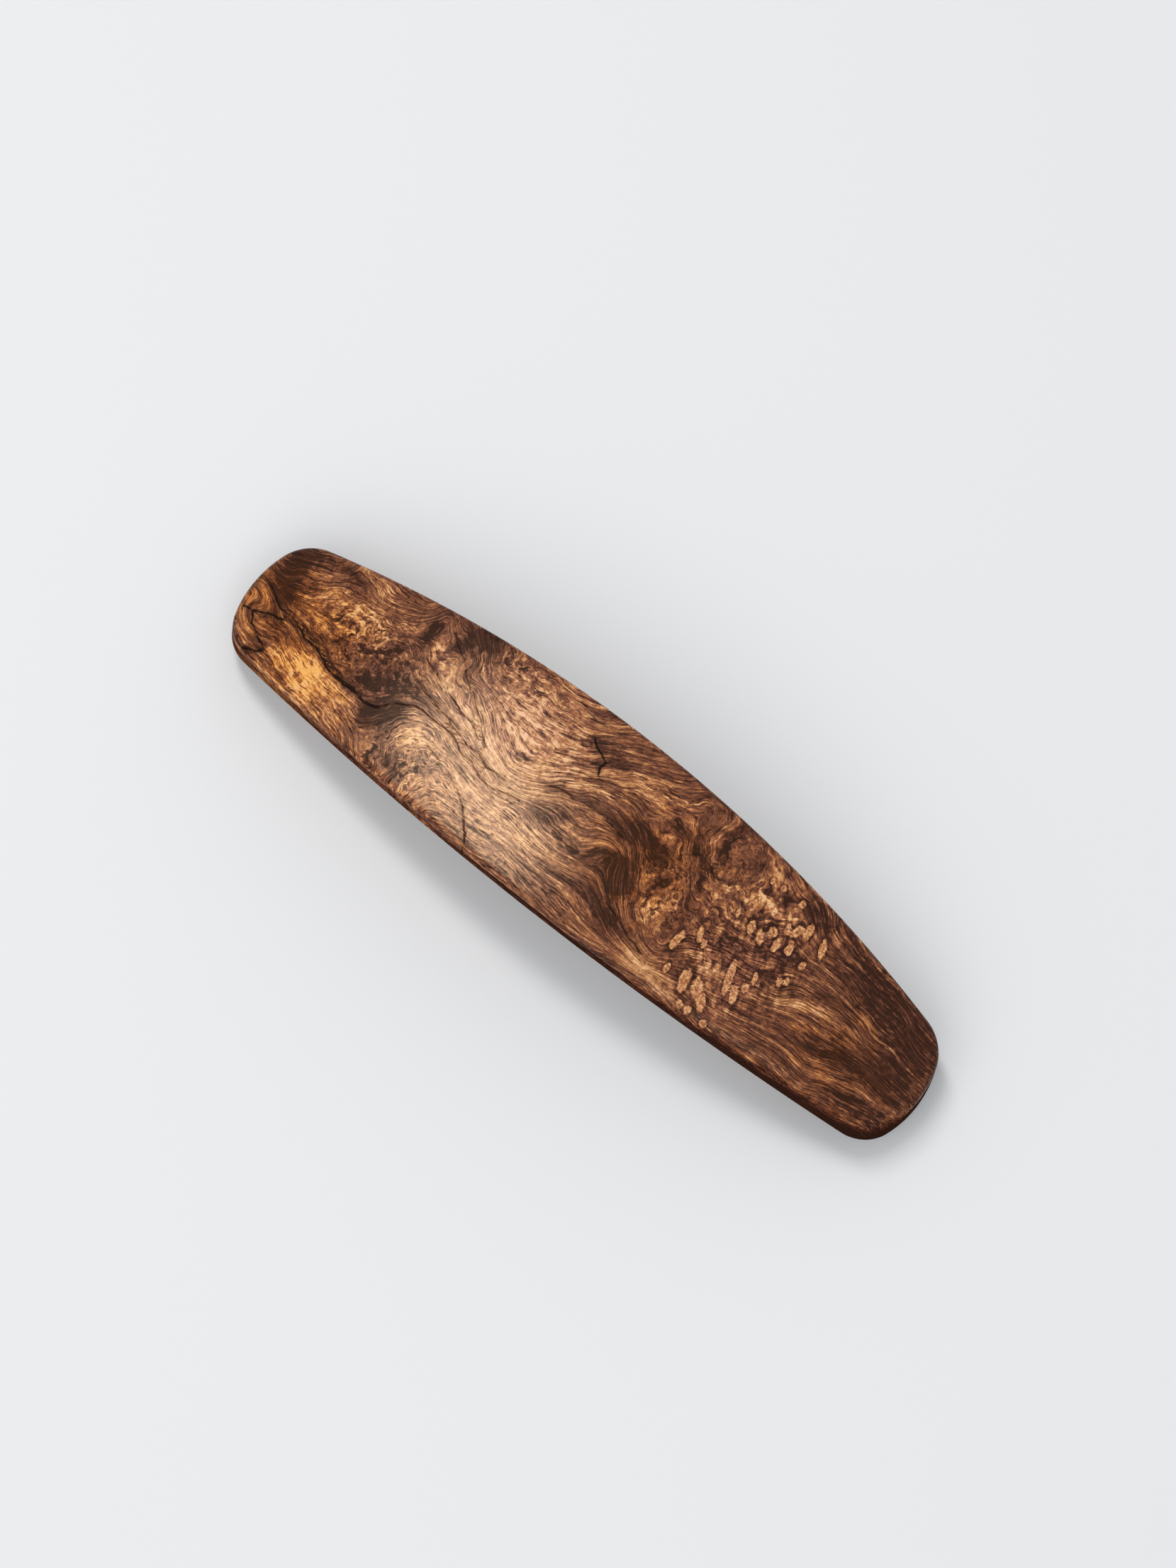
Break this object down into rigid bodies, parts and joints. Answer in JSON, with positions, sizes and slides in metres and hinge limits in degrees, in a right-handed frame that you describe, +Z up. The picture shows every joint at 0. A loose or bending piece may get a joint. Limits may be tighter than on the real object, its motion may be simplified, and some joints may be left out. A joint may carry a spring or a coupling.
{
  "type": "hair barrette",
  "caption": "Arched burl-wood hair barrette with rounded corners, on a sprung steel French clip with a hinged clasp arm and squeeze catch.",
  "frame": {"origin": "on the table, under the middle of the barrette's bounding box, with the clip closed", "axes": "+X along the barrette from the hinge to the catch, +Y across it, +Z up through the wood face"},
  "size_m": [0.101, 0.0246, 0.0177],
  "materials": {
    "burl_wood": "satin oil finish over figured burl",
    "epoxy": "clear amber film",
    "plated_steel": "nickel plate, satin",
    "spring_steel": "rolled spring steel",
    "screw_steel": "zinc-plated",
    "pin_steel": "drawn wire, peened heads"
  },
  "bodies": {
    "barrette": {"wood_top": "burl_wood", "epoxy_bond": "epoxy", "base_plate": "plated_steel", "plate_screw_hinge_end": "screw_steel", "plate_screw_catch_end": "screw_steel", "hinge_pin": "pin_steel"},
    "arm": {"clasp_arm": "plated_steel"},
    "bar": {"tension_bar": "spring_steel"},
    "front_prong": {"catch_prong_front": "plated_steel"},
    "rear_prong": {"catch_prong_rear": "plated_steel"}
  },
  "joints": [
    {"name": "clasp_open", "type": "hinge", "parent": "barrette", "child": "arm", "pos_m": [-0.0335, 0, 0.0034], "axis": [0, 1, 0], "range_deg": [0, 95]},
    {"name": "bar_follow", "type": "hinge", "parent": "barrette", "child": "bar", "pos_m": [-0.0335, 0, 0.0034], "axis": [0, 1, 0], "range_deg": [0, 15]},
    {"name": "squeeze_front", "type": "hinge", "parent": "barrette", "child": "front_prong", "pos_m": [0.0333, -0.00235, 0.00751], "axis": [0.9605, 0, -0.2783], "range_deg": [0, 6.3], "stiffness_Nm_per_rad": 0.05},
    {"name": "squeeze_rear", "type": "hinge", "parent": "barrette", "child": "rear_prong", "pos_m": [0.0333, 0.00235, 0.00751], "axis": [-0.9605, 0, 0.2783], "range_deg": [0, 6.3], "stiffness_Nm_per_rad": 0.05}
  ],
  "couplings": [
    {"joint": "bar_follow", "follows": "clasp_open", "ratio": 0.15}
  ]
}
